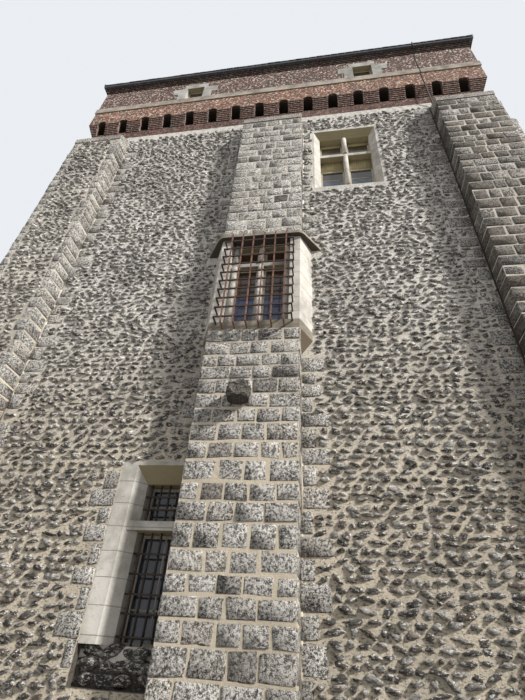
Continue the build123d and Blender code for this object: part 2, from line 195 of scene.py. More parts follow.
# The head of the flint wall leans back by head_lean up to the brick of the crown
head_top, head_lean = flint_top + 0.66, 0.15
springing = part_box("crown_piers_front")[1].z
pier_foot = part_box("crown_piers_front")[0].z
# The piers step out by this much for each metre they rise
pier_slope = 0.36
string_low, string_high = (corner.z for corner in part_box("string_course"))
cornice_top = 18.83
right_buttress, centre_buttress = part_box("front_right_buttress"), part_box("centre_buttress_lower")
inner_edge, outer_edge = right_buttress[0].x, right_buttress[1].x
centre_left, centre_right = centre_buttress[0].x, centre_buttress[1].x
buttress_depth = -half - centre_buttress[0].y
cap_foot = flint_top - 0.56
sill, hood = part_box("bay_sill"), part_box("bay_hood")
# The hood is wider than the bay from here up
hood_skirt = 8.7
# Stone surrounds in each face, flush with the flint: left, right, foot and top
cross_surround = (1.19, 2.96, 11.22, 14.04)
lower_surround = (-1.925, centre_left, 1.50, 4.10)
lower_break = (lower_surround[0], lower_surround[1], 1.24, 1.70)
# Lights of a cross window: left and right of each pair, foot and top of each row
cross_mullion = 2.075
cross_pairs = ((1.39, 2.0125), (2.1375, 2.76))
low_row, high_row = (11.50, 12.875), (12.985, 13.78)
# The one pair of lights of a lower window: left, right, foot and top
lower_light = (-1.515, centre_left, 1.66, 3.80)
# First rail of the cage, and the rise from rail to rail
cage_rail, cage_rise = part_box("bay_grille")[0].z + 0.127, 0.228
# Bricks with their joint, and the beds of the dressed stone
brick_length, brick_course, brick_joint = 0.225, 0.07, 0.010
dressed_foot, dressed_course = 1.77, 0.335

# Where the right, the up and the outward direction of each face point
faces = {
    "front": np.array(((1, 0, 0), (0, 0, 1), (0, -1, 0)), float),
    "right": np.array(((0, 1, 0), (0, 0, 1), (1, 0, 0)), float),
    "back": np.array(((-1, 0, 0), (0, 0, 1), (0, 1, 0)), float),
    "left": np.array(((0, -1, 0), (0, 0, 1), (-1, 0, 0)), float),
}


def stand(points, face):
    """Moves points drawn on a face to where it stands: x to its right, y up and z out of the flint."""
    return points @ faces[face] + half * faces[face][2]


# Materials


def painted_underside_shade(made, colour, depth=0.6):
    """Painted shade: undersides turn towards near-black, as they see little sky."""
    down = made.step(-made.facing()[2], 0.25, 0.8) * depth
    return made.blend(down, colour, (0.030, 0.024, 0.018))


def weather(made, colour, dark=0.35, scale=0.6):
    """Old dirt: broad stains and streaks that run down the face."""
    broad = made.noise(scale, 5.0, 0.65)
    streak = made.noise(2.2, 4.0, 0.6, squeeze=(1.0, 1.0, 0.16))
    share = made.step(broad * 0.6 + streak * 0.4, 0.42, 0.68) * dark
    return made.blend(share, colour, (0.12, 0.11, 0.095))


def pebbles_in(made, base, grit=(0.80, 0.775, 0.73)):
    """Coarse pebbly stone: pale grit and dark pits over a base colour, and its height."""
    speckle = made.noise(32.0, 5.0, 0.85) * 0.65 + made.noise(85.0, 3.0, 0.8) * 0.35
    speckle = speckle + (made.noise(4.0, 4.0, 0.6) - 0.5) * 0.10
    colour = made.blend(made.step(speckle, 0.500, 0.540) * 0.9, base, grit)
    pit = 1 - made.step(speckle, 0.440, 0.485)
    colour = made.blend(pit * 0.95, colour, (0.030, 0.029, 0.028))
    return colour, speckle * 1.6 - pit * 0.3


def mortar_finish(name, light, mid, stone_above=None, chips=0.0):
    """Lime mortar with sand in it, earthy low down. Chips of flint show in it where chips is set.

    The buttresses end in a dressed cap, so their mortar turns to bare stone at stone_above.
    """
    made = Finish(name, 0.92, specular=0.2)
    along, across, level = made.parts(made.place)
    sand = made.noise(60.0, 6.0, 0.7)
    patch = made.noise(3.0, 5.0, 0.65)
    colour = made.blend(made.step(patch, 0.35, 0.7), light, mid)
    earthy = (1 - made.step(level + patch * 4.0, 5.0, 11.0)) * 0.8
    colour = made.blend(earthy, colour, (0.60, 0.515, 0.385))
    colour = made.blend(made.step(sand, 0.45, 0.75) * 0.45, colour, (0.22, 0.20, 0.17))
    height = made.noise(18.0, 6.0, 0.7) + sand * 0.4
    if chips:
        chip = made.step(made.noise(19.0, 5.0, 0.8, squeeze=(1.0, 1.0, 2.2)), 0.54, 0.59)
        colour = made.blend(chip * chips, colour, (0.10, 0.093, 0.082))
        height = height - chip * 0.4
        # Near-black mortar at the back of the broken front under its lower window: a raw core, and
        # painted shade deep in the recess
        broken = made.step(-across, half - 0.25, half - 0.2)
        for place, low, high in ((along, *lower_break[:2]), (level, *lower_break[2:])):
            below = 1 - made.step(place, high, high + 0.02)
            broken = broken * made.step(place, low - 0.02, low) * below
        colour = made.blend(broken * 0.9, colour, (0.055, 0.048, 0.042))
    if stone_above:
        cap, _ = pebbles_in(made, (0.25, 0.23, 0.20))
        colour = made.blend(made.step(level, stone_above - 0.01, stone_above + 0.01), colour, cap)
    colour = weather(made, colour, 0.4)
    return made.paint(painted_underside_shade(made, colour), None, made.bump(height, 0.8, 0.02))


def flint_finish():
    """Split flint: dark glassy breaks in a pale rind, and some stones pale all through."""
    made = Finish("flint", 0.6, specular=0.4)
    tone, hue, heart = made.stone()
    dark = made.ramp(
        tone,
        (0.0, (0.018, 0.017, 0.016)),
        (0.35, (0.038, 0.036, 0.033)),
        (0.52, (0.095, 0.089, 0.080)),
        (0.66, (0.400, 0.382, 0.348)),
        (1.0, (0.660, 0.635, 0.590)),
    )
    warm = made.blend(made.step(hue, 0.80, 0.95) * 0.6, dark, (0.19, 0.125, 0.080))
    rind = made.blend(made.noise(25.0, 4.0), (0.92, 0.895, 0.845), (0.64, 0.615, 0.565))
    split = made.noise(14.0, 5.0, 0.8, squeeze=(1.0, 1.0, 2.6))
    inner = made.step(heart + (split - 0.5) * 3.0, 0.30, 0.42)
    colour = made.blend(inner, rind, warm)
    breaks = made.step(made.noise(19.0, 5.0, 0.85, squeeze=(1.0, 1.0, 1.8)), 0.53, 0.57)
    colour = made.blend(breaks * 0.8, colour, (0.075, 0.069, 0.060))
    # Darker and browner low down, a painted shade, and more white chipped edges higher up, partly
    # painted highlights
    high = made.step(made.parts(made.place)[2], 2.0, 10.0)
    colour = made.blend((1 - high) * 0.35, colour, (0.085, 0.070, 0.052))
    chips = made.step(made.noise(15.0, 4.0, 0.8, squeeze=(1.0, 1.0, 2.0)) + high * 0.055, 0.560, 0.585)
    colour = made.blend(chips * 0.92, colour, (0.95, 0.925, 0.875))
    colour = weather(made, colour, 0.25)
    normal = made.bump(made.noise(34.0, 6.0, 0.8) + split * 0.8 - breaks * 0.5, 1.0, 0.022)
    return made.paint(painted_underside_shade(made, colour, 0.5), made.noise(12.0) * 0.3 + 0.5, normal)


def ashlar_finish():
    """Coarse pebbly conglomerate: grey, pitted, each block a little different."""
    made = Finish("ashlar", 0.9, specular=0.25)
    tone, hue, _ = made.stone()
    base = made.ramp(
        tone,
        (0.0, (0.088, 0.080, 0.071)),
        (0.5, (0.290, 0.279, 0.260)),
        (1.0, (0.440, 0.422, 0.392)),
    )
    base = made.blend(made.step(hue, 0.6, 0.95) * 0.4, base, (0.33, 0.27, 0.20))
    grit = made.blend(made.step(tone, 0.0, 0.55), (0.27, 0.243, 0.212), (0.84, 0.815, 0.77))
    colour, height = pebbles_in(made, base, grit)
    colour = weather(made, colour, 0.35, 0.9)
    return made.paint(painted_underside_shade(made, colour), None, made.bump(height, 0.9, 0.025))


# Two colours each for the undersides of dressed stone: grime, and painted shade
olive_soffit = ((0.34, 0.285, 0.145), (0.17, 0.140, 0.075))
brown_soffit = ((0.19, 0.145, 0.10), (0.11, 0.085, 0.06))
black_soffit = ((0.050, 0.041, 0.032), (0.026, 0.021, 0.017))


def limestone_finish(name, light, mid, dirt=0.4, soffit=olive_soffit):
    """Dressed limestone with fine bed joints, tool marks, a few pits, and grime with painted shade on
    its undersides.
    """
    made = Finish(name, 0.85, specular=0.25)
    patch = made.noise(2.6, 6.0, 0.65)
    colour = made.blend(made.step(patch, 0.35, 0.7), light, mid)
    grain = made.noise(70.0, 5.0, 0.7)
    colour = made.blend(made.step(grain, 0.5, 0.75) * 0.35, colour, (0.38, 0.35, 0.30))
    tooled = made.step(made.noise(30.0, 3.0, 0.7, squeeze=(1.0, 1.0, 2.2)), 0.60, 0.68) * 0.5
    colour = made.blend(tooled, colour, (0.25, 0.23, 0.20))
    colour = weather(made, colour, dirt, 1.3)
    from_bed = made.maths("PINGPONG", made.parts(made.place)[2] - dressed_foot, dressed_course / 2)
    bed = 1 - made.step(from_bed + (made.noise(9.0, 3.0) - 0.5) * 0.012, 0.004, 0.010)
    colour = made.blend(bed * 0.6, colour, (0.20, 0.175, 0.145))
    # Undersides take grime and a painted shade
    underside_grime_and_shade = made.blend(made.noise(16.0, 5.0, 0.7, squeeze=(1.0, 1.0, 6.0)), *soffit)
    colour = made.blend(made.step(-made.facing()[2], 0.12, 0.45) * 0.9, colour, underside_grime_and_shade)
    pits = made.step(made.cells(22.0, "Distance"), 0.05, 0.16)
    height = made.noise(9.0, 5.0, 0.6) * 0.5 + grain * 0.25 + pits * 0.15 - bed * 0.4 - tooled * 0.3
    return made.paint(colour, None, made.bump(height, 0.5, 0.015))


def wall_place(made):
    """Coordinates along a wall and up it, whichever way the wall faces."""
    turn, parts = made.facing(), made.parts(made.place)
    side = made.step(made.maths("ABSOLUTE", turn[0]), 0.6, 0.8)
    level = made.step(made.maths("ABSOLUTE", turn[2]), 0.6, 0.8)
    along = parts[0] * (1 - side) + parts[1] * side
    up = parts[2] * (1 - level) + parts[1] * level
    return made.node("ShaderNodeCombineXYZ", _0=along, _1=up).out(0)


def brick_pattern(made):
    """Where the joints are, and a shade from 0 to 1 for each brick."""
    wobble = made.noise(7.0, 3.0) * 0.012
    shift = made.node("ShaderNodeCombineXYZ", _0=wobble, _1=wobble).out(0)
    pattern = made.node(
        "ShaderNodeTexBrick",
        {"offset": 0.5, "squash": 1.0},
        Vector=made.vector("ADD", wall_place(made), shift),
        Color1=(0.0, 0.0, 0.0),
        Color2=(1.0, 1.0, 1.0),
        Mortar=(0.5, 0.5, 0.5),
        Scale=1.0,
        Mortar_Size=brick_joint,
        Mortar_Smooth=0.3,
        Bias=0.0,
        Brick_Width=brick_length,
        Row_Height=brick_course,
    )
    return pattern.out("Fac"), made.parts(pattern.out("Color"))[0]


def shade_between_piers(made):
    """Share of the painted shade between the brick piers, which lean out over the wall: 1 deep in the
    openings and 0 outside.
    """
    along, across, level = made.parts(made.place)
    reach = made.maths("MAXIMUM", made.maths("ABSOLUTE", along), made.maths("ABSOLUTE", across))
    pier_face = (level - pier_foot) * pier_slope + (half - head_lean)
    above_foot = made.step(level, pier_foot - 0.06, pier_foot - 0.02)
    below_head = 1 - made.step(level, springing + 0.10, springing + 0.12)
    return made.step(pier_face - reach, 0.03, 0.16) * above_foot * below_head


def brick_finish(name, lower, upper, change, lime, specks, joints=0.35, pale_head=False):
    """Old brick in lime mortar. Two palettes of three colours meet at the level change.

    Specks and joints are the shares of white specks and of pale joints. Where pale_head is set, the
    foot of the crown is the plastered head of the flint wall, up to head_top.
    """
    made = Finish(name, 0.9, specular=0.2)
    level = made.parts(made.place)[2]
    joint, each = brick_pattern(made)
    cell = made.parts(made.cells(3.7, "Color", (1.2, 1.2, 3.8)))[0]
    odd = made.step(cell, 0.5, 0.95) * 0.85
    above = made.step(level, change - 0.01, change + 0.01)
    first, second, third = (made.blend(above, low, high) for low, high in zip(lower, upper))
    colour = made.blend(odd, made.blend(each, first, second), third)
    blotch = made.noise(6.5, 5.0, 0.85)
    colour = made.blend((1 - made.step(blotch, 0.47, 0.51)) * 0.85, colour, third)
    speck = made.step(made.noise(13.0, 3.0, 0.8), 0.565, 0.590) * specks
    colour = made.blend(speck, colour, (0.92, 0.85, 0.76))
    colour = made.blend(joint * joints, colour, lime)
    colour = weather(made, colour, 0.35, 0.8)
    height = (1 - joint) * 0.8 + made.noise(40.0, 5.0, 0.7) * 0.3
    if pale_head:
        below = 1 - made.step(level, head_top - 0.01, head_top + 0.01)
        stain = made.step(made.noise(9.0, 6.0, 0.8), 0.46, 0.60)
        plaster = made.blend(stain, (0.62, 0.60, 0.565), (0.34, 0.32, 0.285))
        colour = made.blend(below, colour, plaster)
        height = height * (1 - below) + made.noise(18.0, 6.0, 0.7) * below
    # Painted shade: the openings between the piers turn near-black
    colour = made.blend(shade_between_piers(made) * 0.96, colour, (0.012, 0.010, 0.010))
    return made.paint(painted_underside_shade(made, colour, 0.8), None, made.bump(height, 0.8, 0.012))


def slate_finish():
    """Dark blue-grey slate, each slate its own shade."""
    made = Finish("slate", 0.55, specular=0.4)
    tone, _, _ = made.stone()
    colour = made.ramp(
        tone, (0.0, (0.055, 0.060, 0.070)), (0.6, (0.10, 0.107, 0.118)), (1.0, (0.17, 0.17, 0.165))
    )
    lichen = made.step(made.noise(6.0, 6.0, 0.7), 0.56, 0.72) * 0.45
    colour = made.blend(lichen, colour, (0.24, 0.235, 0.19))
    height = made.noise(20.0, 5.0, 0.65, squeeze=(1.0, 1.0, 0.5))
    return made.paint(colour, None, made.bump(height, 0.4, 0.006))


def lead_finish():
    """Dull grey lead."""
    made = Finish("lead", 0.6, 0.3, 0.4)
    dull = made.noise(5.0, 5.0, 0.6)
    colour = made.blend(made.step(dull, 0.35, 0.7), (0.20, 0.205, 0.21), (0.11, 0.112, 0.118))
    return made.paint(colour, dull * 0.3 + 0.4, made.bump(dull, 0.3, 0.01))


def iron_finish(name, least, mid, most, shaded_rails=False):
    """Wrought iron, brown with rust. The rails of the cage get a painted shade, blacker than its
    uprights.
    """
    made = Finish(name, 0.75, 0.3, 0.4)
    rust = made.noise(14.0, 6.0, 0.7)
    colour = made.ramp(rust, (0.3, least), (0.5, mid), (0.72, most))
    # Painted shade on the rails of the cage
    if shaded_rails:
        level = made.parts(made.place)[2]
        from_rail = made.maths("PINGPONG", level - cage_rail, cage_rise / 2)
        rail = 1 - made.step(from_rail, 0.0135, 0.0145)
        colour = made.blend(rail * 0.85, colour, (0.030, 0.022, 0.020))
    return made.paint(colour, rust * 0.4 + 0.45, made.bump(made.noise(120.0, 5.0), 0.5, 0.003))


def wood_finish(name, light, dark):
    """Weathered wood with its grain upright."""
    made = Finish(name, 0.75, specular=0.3)
    grain = made.noise(40.0, 6.0, 0.65, squeeze=(1.0, 1.0, 0.06))
    colour = made.blend(made.step(grain, 0.35, 0.7), light, dark)
    return made.paint(painted_underside_shade(made, colour, 0.7), None, made.bump(grain, 0.4, 0.004))


def glass_finish():
    """Old window glass: a painted reflection of blue or grey sky in the foot of each light, and above
    it the dark room in painted shade.
    """
    made = Finish("window_glass", 0.10, specular=0.6)
    level = made.parts(made.place)[2]
    wave = made.noise(5.0, 2.0)
    # Painted reflections of the sky, dimmer in the lower windows
    sky = made.ramp(wave, (0.3, (0.026, 0.038, 0.085)), (0.7, (0.085, 0.115, 0.215)))
    painted_dim_reflection = made.ramp(wave, (0.3, (0.012, 0.015, 0.021)), (0.7, (0.035, 0.043, 0.062)))
    painted_grey_sky = made.ramp(wave, (0.3, (0.045, 0.058, 0.075)), (0.7, (0.095, 0.120, 0.150)))
    colour = made.blend(made.step(level, lower_surround[3], sill[1].z), painted_dim_reflection, sky)
    colour = made.blend(made.step(level, hood[1].z, cross_surround[2]), colour, painted_grey_sky)
    wavy = level + (wave - 0.5) * 0.1
    # Painted shade of the room behind the bay, of the two rows of a cross window and of the windows of
    # the crown
    for foot, top, room_shade in (
        (sill[1].z + 0.85, hood[0].z, (0.055, 0.034, 0.020)),
        (cross_surround[2] + 0.80, cross_surround[3] - 1.1, (0.060, 0.050, 0.040)),
        (cross_surround[3] - 1.08, cross_surround[3], (0.072, 0.060, 0.036)),
        (string_high - 0.2, string_high + 1.0, (0.072, 0.066, 0.038)),
    ):
        below = 1 - made.step(level, top - 0.01, top + 0.01)
        colour = made.blend(made.step(wavy, foot - 0.04, foot + 0.04) * below, colour, room_shade)
    return made.paint(colour, None, made.bump(wave, 0.15, 0.01))


flint_mortar = mortar_finish("flint_mortar", (0.86, 0.832, 0.780), (0.67, 0.643, 0.595), chips=0.85)
block_mortar = mortar_finish("block_mortar", (0.68, 0.635, 0.56), (0.54, 0.505, 0.445), cap_foot)
corner_mortar = mortar_finish("corner_mortar", (0.90, 0.85, 0.78), (0.78, 0.73, 0.66))
flint = flint_finish()
ashlar = ashlar_finish()
limestone = limestone_finish("limestone", (0.66, 0.635, 0.585), (0.50, 0.475, 0.425))
# The hood's stone is dark with soot and painted shade, near-black below
sooty_and_shaded_stone = limestone_finish(
    "sooty_and_shaded_stone", (0.34, 0.30, 0.24), (0.20, 0.175, 0.145), 0.6, black_soffit
)
string_stone = limestone_finish("string_stone", (0.47, 0.425, 0.375), (0.27, 0.22, 0.185), 0.6)
# The sill's stone is dark and brownish: moss, and painted shade on its stop
mossy_and_shaded_stone = limestone_finish(
    "mossy_and_shaded_stone", (0.31, 0.275, 0.215), (0.165, 0.150, 0.115), 0.6, brown_soffit
)
grey_stone = limestone_finish("grey_stone", (0.52, 0.515, 0.485), (0.36, 0.35, 0.325), 0.5)
# Palettes of brick: two shades for most bricks, and a third for odd ones and blotches
dark_reds = ((0.28, 0.098, 0.066), (0.15, 0.050, 0.038), (0.070, 0.034, 0.030))
orange_reds = ((0.40, 0.175, 0.090), (0.235, 0.092, 0.052), (0.10, 0.050, 0.037))
plum_reds = ((0.19, 0.070, 0.050), (0.095, 0.038, 0.031), (0.042, 0.024, 0.022))
brown_reds = ((0.080, 0.035, 0.026), (0.046, 0.023, 0.019), (0.028, 0.018, 0.016))
pier_brick = brick_finish(
    "pier_brick", dark_reds, dark_reds, springing, (0.60, 0.52, 0.46), 0.4, 0.65
)
foot_brick = brick_finish(
    "foot_brick", plum_reds, plum_reds, springing, (0.40, 0.33, 0.28), 0.25, 0.4, pale_head=True
)
# Above the string course the wall takes the darker plum palette, partly a painted shade of the eave
wall_brick = brick_finish(
    "wall_brick", orange_reds, plum_reds, string_low, (0.58, 0.52, 0.46), 0.8
)
# The cornice's near-black browns and dark joints are a painted shade under the eave
cornice_brick = brick_finish(
    "cornice_brick", brown_reds, brown_reds, string_low, (0.10, 0.08, 0.07), 0.22
)
slate = slate_finish()
lead = lead_finish()
iron = iron_finish(
    "rusty_iron", (0.075, 0.042, 0.034), (0.17, 0.085, 0.060), (0.36, 0.215, 0.165), shaded_rails=True
)
dark_iron = iron_finish("dark_iron", (0.022, 0.018, 0.016), (0.045, 0.034, 0.028), (0.09, 0.06, 0.045))
casement_wood = wood_finish("casement_wood", (0.52, 0.475, 0.38), (0.36, 0.32, 0.25))
head_wood = wood_finish("head_boards", (0.40, 0.335, 0.180), (0.25, 0.205, 0.110))
floor_wood = wood_finish("floor_boards", (0.26, 0.18, 0.11), (0.14, 0.09, 0.055))
glass = glass_finish()

# The finish of each slot, and of the nodes that have one of their own
finish_of = {
    "flint": flint_mortar,
    "ashlar": block_mortar,
    "limestone": limestone,
    "brick": pier_brick,
    "slate": slate,
    "floor_boards": floor_wood,
    "casement_wood": casement_wood,
    "glass": glass,
    "iron": iron,
}
own_finish = {
    "string_course": string_stone,
    "crown_window_frames": grey_stone,
    # The bay's frame takes the darker grey stone as a painted shade under its hood
    "bay_window_frame": grey_stone,
    "bay_sill": mossy_and_shaded_stone,
    "crown_base": foot_brick,
    "crown_cornice": cornice_brick,
    "corbel_stub": ashlar,
    "bay_hood": sooty_and_shaded_stone,
}
for face in faces:
    own_finish["crown_wall_" + face] = wall_brick
for entry in frame["record"]["subparts"]:
    material = own_finish.get(entry["node"], finish_of[entry["material_slot"]])
    materials = nodes[entry["node"]].data.materials
    materials.clear()
    materials.append(material)


# Stones, blocks, slates and bars: one small shape each, cast many times into one piece

# How far the edges of a block of size 1 are cut back, before its true wear is set
cut_back = 0.1


class Shape:
    """Corners and sides of a small closed shape, as arrays that can be cast many times."""

    def __init__(self, made):
        made.verts.index_update()
        self.points = np.array([corner.co for corner in made.verts])
        self.sides = [[corner.index for corner in side.verts] for side in made.faces]
        made.free()


def keep_piece(name, mesh, material):
    """Makes a finished mesh a piece of the keep."""
    mesh.materials.append(material)
    piece = bpy.data.objects.new(name, mesh)
    bpy.context.scene.collection.objects.link(piece)
    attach(piece, "root")


def add_rod(made, radius, sides, length, place):
    """Adds a round rod that lies along z before its place turns it."""
    bmesh.ops.create_cone(
        made, cap_ends=True, segments=sides, radius1=radius, radius2=radius, depth=length, matrix=place
    )


def keep_modelled(name, made, material):
    """Makes what was modelled as one shape a piece of the keep."""
    mesh = bpy.data.meshes.new(name)
    made.to_mesh(mesh)
    made.free()
    keep_piece(name, mesh, material)


def side_by_side(*parts):
    """Puts arrays beside each other along a new last axis, each spread to the shape of the largest."""
    return np.stack(np.broadcast_arrays(*parts), axis=-1)


def cast(name, shape, points, tints, material):
    """Joins many casts of one shape into a piece, from the corners of each cast and their tints."""
    count, corners = points.shape[:2]
    mesh = bpy.data.meshes.new(name)
    mesh.vertices.add(count * corners)
    mesh.vertices.foreach_set("co", points.astype(np.float32).ravel())
    ring = np.concatenate(shape.sides)
    loops = (ring[None, :] + corners * np.arange(count)[:, None]).ravel()
    mesh.loops.add(len(loops))
    mesh.loops.foreach_set("vertex_index", loops.astype(np.int32))
    lengths = np.tile([len(side) for side in shape.sides], count)
    starts = np.cumsum(lengths) - lengths
    mesh.polygons.add(len(lengths))
    mesh.polygons.foreach_set("loop_start", starts.astype(np.int32))
    mesh.update(calc_edges=True)
    stone = mesh.color_attributes.new("stone", "FLOAT_COLOR", "POINT")
    rgba = np.ones((count, corners, 4), np.float32)
    rgba[..., :3] = tints
    stone.data.foreach_set("color", rgba.ravel())
    keep_piece(name, mesh, material)


def box_shape():
    """Plain cube."""
    made = bmesh.new()
    bmesh.ops.create_cube(made, size=1.0)
    return Shape(made)


def nodule_shape(sides):
    """Flat-bottomed stone with a steep rim and a raised middle."""
    made = bmesh.new()
    bmesh.ops.create_cone(made, cap_ends=True, segments=sides, radius1=1.0, radius2=0.72, depth=2.0)
    crown = max(made.faces, key=lambda side: side.calc_center_median().z)
    bmesh.ops.poke(made, faces=[crown], offset=0.3)
    return Shape(made)


def block_shape(all_round):
    """Cube with all its edges cut back, or only those that reach its front."""
    made = bmesh.new()
    bmesh.ops.create_cube(made, size=1.0)
    bmesh.ops.bevel(
        made,
        geom=[edge for edge in made.edges if all_round or max(end.co.z for end in edge.verts) > 0.4],
        offset=cut_back,
        offset_type="OFFSET",
        affect="EDGES",
        segments=1,
        profile=0.5,
        material=-1,
    )
    return Shape(made)


# Heights of the courses of nodules, the gaps between them, and how far out each stands
flint_courses, flint_gaps, flint_relief = (0.085, 0.135), (0.004, 0.026), (0.014, 0.044)
# Least width of a nodule and of a stretch for them, how deep each sits in its mortar, and what makes
# up for its uneven rim
smallest_flint, smallest_run, flint_root, rim_growth = 0.05, 0.06, 0.014, 1.17


def free_runs(left, right, level, height, taken):
    """Stretches of a course that no other masonry takes."""
    runs = [(left, right)]
    for near, far, low, high in taken:
        if high > level + 0.15 * height and low < level + 0.85 * height:
            cut = []
            for start, end in runs:
                cut += [(start, min(end, near)), (max(start, far), end)]
            runs = [(start, end) for start, end in cut if end - start > smallest_run]
    return runs


def flint_bed(left, right, bottom, top, taken, out):
    """Nodules in rough courses: x, y, width, height and plane of each. The wall's head leans back."""
    stones = []
    level = bottom
    while level < top - smallest_flint:
        height = min(chance.uniform(*flint_courses), top - level)
        middle = level + height / 2
        plane = out - head_lean * max(middle - flint_top, 0.0) / (head_top - flint_top)
        for start, end in free_runs(left, right, level, height, taken):
            x = start + chance.uniform(0.005, 0.03)
            while x < end - smallest_flint:
                width = min(0.08 + 0.24 * chance.beta(1.3, 2.2), end - x)
                if width > smallest_flint:
                    tall = height * chance.uniform(0.52, 1.0)
                    y = middle + chance.normal(0.0, 0.010)
                    stones.append((x + width / 2, y, width, tall, plane))
                x += width + chance.uniform(*flint_gaps)
        level += height
    return stones


def lay_flints(name, sides, stones_of_face, palest=1.0):
    """Casts the nodules of one or more faces as one piece."""
    shape = nodule_shape(sides)
    radius = np.hypot(shape.points[:, 0], shape.points[:, 1])
    angle = np.arctan2(shape.points[:, 1], shape.points[:, 0])
    level = shape.points[:, 2]
    clouds, tints = [], []
    for face, stones in stones_of_face.items():
        x, y, width, tall, plane = (column[:, None] for column in np.array(stones).T)
        count = len(stones)
        corners = (count, len(radius))
        turned = angle + chance.uniform(0, math.tau, (count, 1)) + chance.normal(0.0, 0.12, corners)
        uneven = radius * (1 + chance.uniform(-0.42, 0.26, corners))
        across = np.cos(turned) * uneven * width / 2 * rim_growth
        upward = np.sin(turned) * uneven * tall / 2 * rim_growth
        tilt = chance.normal(0.0, 0.24, (count, 1))
        proud = chance.uniform(*flint_relief, (count, 1))
        lean = chance.normal(0.0, 0.24, (count, 2))
        broken = chance.normal(0.0, 0.007, corners)
        face_of_stone = level * proud + across * lean[:, :1] + upward * lean[:, 1:] + broken
        rise = np.where(level < 0, -flint_root, face_of_stone)
        points = side_by_side(
            x + across * np.cos(tilt) - upward * np.sin(tilt),
            np.maximum(y + across * np.sin(tilt) + upward * np.cos(tilt), 0.0),
            plane + rise,
        )
        clouds.append(stand(points, face))
        heart = np.clip(1.15 - radius, 0.0, 1.0)
        tone, hue = chance.uniform(0, palest, (count, 1)), chance.uniform(0, 1, (count, 1))
        tints.append(side_by_side(tone, hue, heart))
    cast(name, shape, np.concatenate(clouds), np.concatenate(tints), flint)


def lay_blocks(name, shape, blocks_of_face, tone=0.57):
    """Casts ashlar blocks, given by their low and high corners, as one piece with worn edges."""
    worn, rough = np.array((0.019, 0.016, 0.012)), np.array((0.005, 0.005, 0.003))
    clouds, tints = [], []
    for face, blocks in blocks_of_face.items():
        low, high = np.array(blocks).transpose(1, 0, 2)
        count = len(blocks)
        middle, size = (low + high)[:, None] / 2, (high - low)[:, None] / 2
        sign = np.sign(shape.points)
        inset = (0.5 - np.abs(shape.points)) / cut_back * worn
        wear = 1 + chance.uniform(-0.6, 0.9, (count, len(sign), 3))
        knocks = chance.normal(0.0, 1.0, (count, len(sign), 3)) * rough
        clouds.append(stand(middle + sign * (size - inset * wear) + knocks, face))
        # The right buttress is of a browner, darker stone
        browner = middle[:, :, 0] > inner_edge
        shade = np.clip(chance.normal(tone, 0.16, (count, 1)) - 0.43 * browner, 0, 1)
        hue = np.clip(chance.uniform(0, 1, (count, 1)) + 0.35 * browner, 0, 1)
        tints.append(side_by_side(shade, hue, np.zeros(len(sign))))
    cast(name, shape, np.concatenate(clouds), np.concatenate(tints), ashlar)


# Courses of masonry

bed_joint, proud_block = 0.024, 0.010
# Least and most height of a course of blocks, and length of the blocks between two corners
buttress_courses, bonding_courses, corner_courses = (0.24, 0.34), (0.24, 0.36), (0.22, 0.34)
fill_lengths = (0.30, 0.50)
# Lengths of the bonding stones, long and short by turns, and the share that shows
long_bonds, short_bonds, bonds_that_show = (0.34, 0.50), (0.16, 0.27), 0.88


def courses(bottom, top, least, most):
    """Levels and heights of uneven courses that fill bottom to top exactly."""
    heights = []
    while sum(heights) < top - bottom - least / 2:
        heights.append(chance.uniform(least, most))
    heights = np.array(heights) * (top - bottom) / sum(heights)
    return list(zip(bottom + np.cumsum(heights) - heights, heights))


def lengths_along(left, right, least, most):
    """Starts and widths of uneven stones that fill a stretch exactly."""
    if right - left < least * 1.5:
        return [(left, right - left)]
    return courses(left, right, least, most)


def block(left, right, level, height, back, front, joints="lr"):
    """Low and high corners of a block that stands half a joint back from its neighbours."""
    gap = bed_joint / 2 * chance.uniform(0.7, 1.3)
    low = (left + (gap if "l" in joints else 0.0), level + gap, back)
    high = (right - (gap if "r" in joints else 0.0), level + height - gap, front)
    return low, high


def raise_buttress(left, right, bottom, top, filled=True):
    """Corner stones as deep as the buttress, long and short by turns, and what lies between them."""
    corners, fills, rubble = [], [], []
    for number, (level, height) in enumerate(courses(bottom, top, *buttress_courses)):
        front = buttress_depth + proud_block + chance.uniform(-0.006, 0.006)
        longest = 0.46 if number % 2 else 0.29
        inner = []
        for edge, side in ((left, -1), (right, 1)):
            length = longest + chance.uniform(-0.05, 0.05) if filled else chance.uniform(0.14, 0.26)
            near, outer = edge - side * length, edge + side * proud_block
            joints = "r" if side < 0 else "l"
            corners.append(block(*sorted((near, outer)), level, height, 0.005, front, joints))
            inner.append(near)
        if filled:
            for start, width in lengths_along(*inner, *fill_lengths):
                fills.append(block(start, start + width, level, height, buttress_depth - 0.05, front))
        else:
            rubble += flint_bed(*inner, level + 0.01, level + height, [], buttress_depth)
    return corners, fills, rubble


def bonding_stones(edge, side, bottom, top, taken):
    """Blocks of the wall beside an edge, long and short by turns, kept clear of other masonry."""
    made = []
    for number, (level, height) in enumerate(courses(bottom, top, *bonding_courses)):
        length = chance.uniform(*(long_bonds if number % 2 else short_bonds))
        left, right = sorted((edge, edge + side * length))
        clear = all(
            right < near or left > far or level > high or level + height < low
            for near, far, low, high in taken
        )
        if clear and chance.random() < bonds_that_show:
            made.append(block(left, right, level, height, -0.03, 0.012))
    return made


# Walls and buttresses, the same on each face but for the bay and the broken wall of the front

